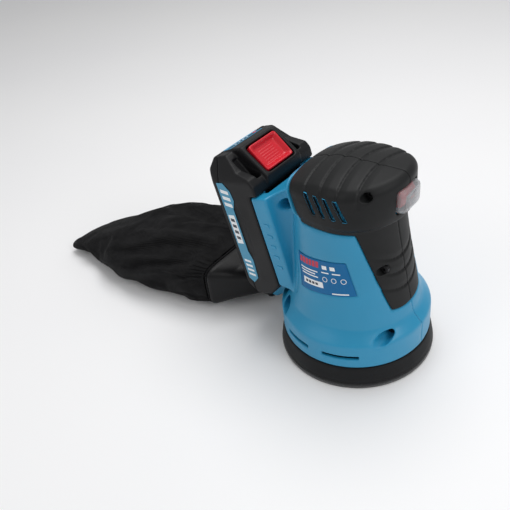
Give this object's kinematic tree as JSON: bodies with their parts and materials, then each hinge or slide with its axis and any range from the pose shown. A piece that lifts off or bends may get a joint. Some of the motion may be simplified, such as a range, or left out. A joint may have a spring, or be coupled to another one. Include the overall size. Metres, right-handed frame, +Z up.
{
  "type": "random orbital sander",
  "caption": "Cordless palm orbital sander: round hook-faced pad, skirted motor body with soft grip, rear slide-on battery pack and fabric dust bag.",
  "frame": {"origin": "centre of the pad's sanding face, on the surface that the sander stands on", "axes": "+Z up through the body, +X towards the switch at the front, -X towards the battery and dust bag, Y = 0 is the housing's parting plane"},
  "size_m": [0.3765, 0.125, 0.168],
  "materials": {
    "housing_blue": "smooth moulded plastic, satin",
    "soft_grip": "matt over-moulded elastomer",
    "screw_steel": "zinc plated",
    "label_blue": "printed film, satin",
    "pack_label": "printed film, satin",
    "clear_boot": "frosted clear elastomer",
    "switch_red": "satin moulded plastic",
    "inner_black": "moulded plastic",
    "board_green": "solder mask",
    "motor_steel": "drawn steel",
    "magnet": "sintered ferrite",
    "winding": "enamelled copper over a steel core",
    "copper": "turned copper and brass",
    "pack_black": "fine textured moulding",
    "cell_wrap": null,
    "pad_rubber": "moulded closed-cell foam",
    "hook_pile": "hook-and-loop face",
    "bag_fabric": "thin black woven polyester"
  },
  "bodies": {
    "housing": {"housing_right": "housing_blue", "housing_left": "housing_blue", "grip_right": "soft_grip", "grip_left": "soft_grip", "housing_screw_head_front": "screw_steel", "housing_screw_neck": "screw_steel", "housing_screw_skirt": "screw_steel", "housing_screw_mount_top": "screw_steel", "housing_screw_mount_foot": "screw_steel", "rating_label": "label_blue", "switch_boot": "clear_boot", "switch_body": "inner_black", "control_board": "board_green", "motor_can": "motor_steel", "motor_end_cap": "inner_black", "motor_magnets": "magnet", "lower_motor_bearing": "motor_steel", "upper_motor_bearing": "motor_steel", "pad_brake_ring": "pad_rubber", "dust_duct": "housing_blue", "terminal_block": "inner_black", "terminal_blade_1": "copper", "terminal_blade_2": "copper"},
    "rocker": {"switch_rocker": "switch_red"},
    "rotor": {"motor_shaft": "motor_steel", "armature": "winding", "commutator": "copper", "dust_fan": "inner_black", "orbit_crank": "motor_steel", "pad_bearing_inner": "motor_steel"},
    "pad": {"backing_plate": "inner_black", "pad_bearing_outer": "motor_steel", "pad_foam": "pad_rubber", "hook_disc": "hook_pile", "pad_screw_1": "screw_steel", "pad_screw_2": "screw_steel", "pad_screw_3": "screw_steel"},
    "battery": {"battery_case_outer": "pack_black", "battery_case_inner": "pack_black", "battery_label_right": "pack_label", "battery_label_left": "pack_label", "gauge_panel": "label_blue", "battery_cell_1": "cell_wrap", "battery_cell_2": "cell_wrap", "battery_cell_3": "cell_wrap", "battery_cell_4": "cell_wrap", "battery_cell_5": "cell_wrap", "battery_board": "board_green", "release_spring": "motor_steel"},
    "release": {"release_button": "switch_red"},
    "gauge_key": {"gauge_button": "switch_red"},
    "bag": {"bag_adaptor": "pack_black", "bag_elastic": "bag_fabric", "dust_bag": "bag_fabric"}
  },
  "joints": [
    {"name": "rotor_spin", "type": "hinge", "parent": "housing", "child": "rotor", "pos_m": [-0.00125, 0, 0.08], "axis": [0, 0, 1], "continuous": true},
    {"name": "pad_spin", "type": "hinge", "parent": "rotor", "child": "pad", "pos_m": [0, 0, 0.02], "axis": [0, 0, 1], "continuous": true},
    {"name": "rocker_tilt", "type": "hinge", "parent": "housing", "child": "rocker", "pos_m": [0.037, 0, 0.1485], "axis": [0, 1, 0], "range_deg": [0, 12]},
    {"name": "battery_slide", "type": "slide", "parent": "housing", "child": "battery", "axis": [-0.23, 0, 0.9732], "range_m": [0, 0.085]},
    {"name": "release_press", "type": "slide", "parent": "battery", "child": "release", "axis": [-0.6462, 0, -0.7632], "range_m": [0, 0.003], "stiffness_N_per_m": 600, "deforming": ["release_spring"]},
    {"name": "gauge_press", "type": "slide", "parent": "battery", "child": "gauge_key", "axis": [0.44, 0, -0.898], "range_m": [0, 0.0006], "stiffness_N_per_m": 300},
    {"name": "bag_slide", "type": "slide", "parent": "housing", "child": "bag", "axis": [-1, 0, 0], "range_m": [0, 0.03]}
  ]
}
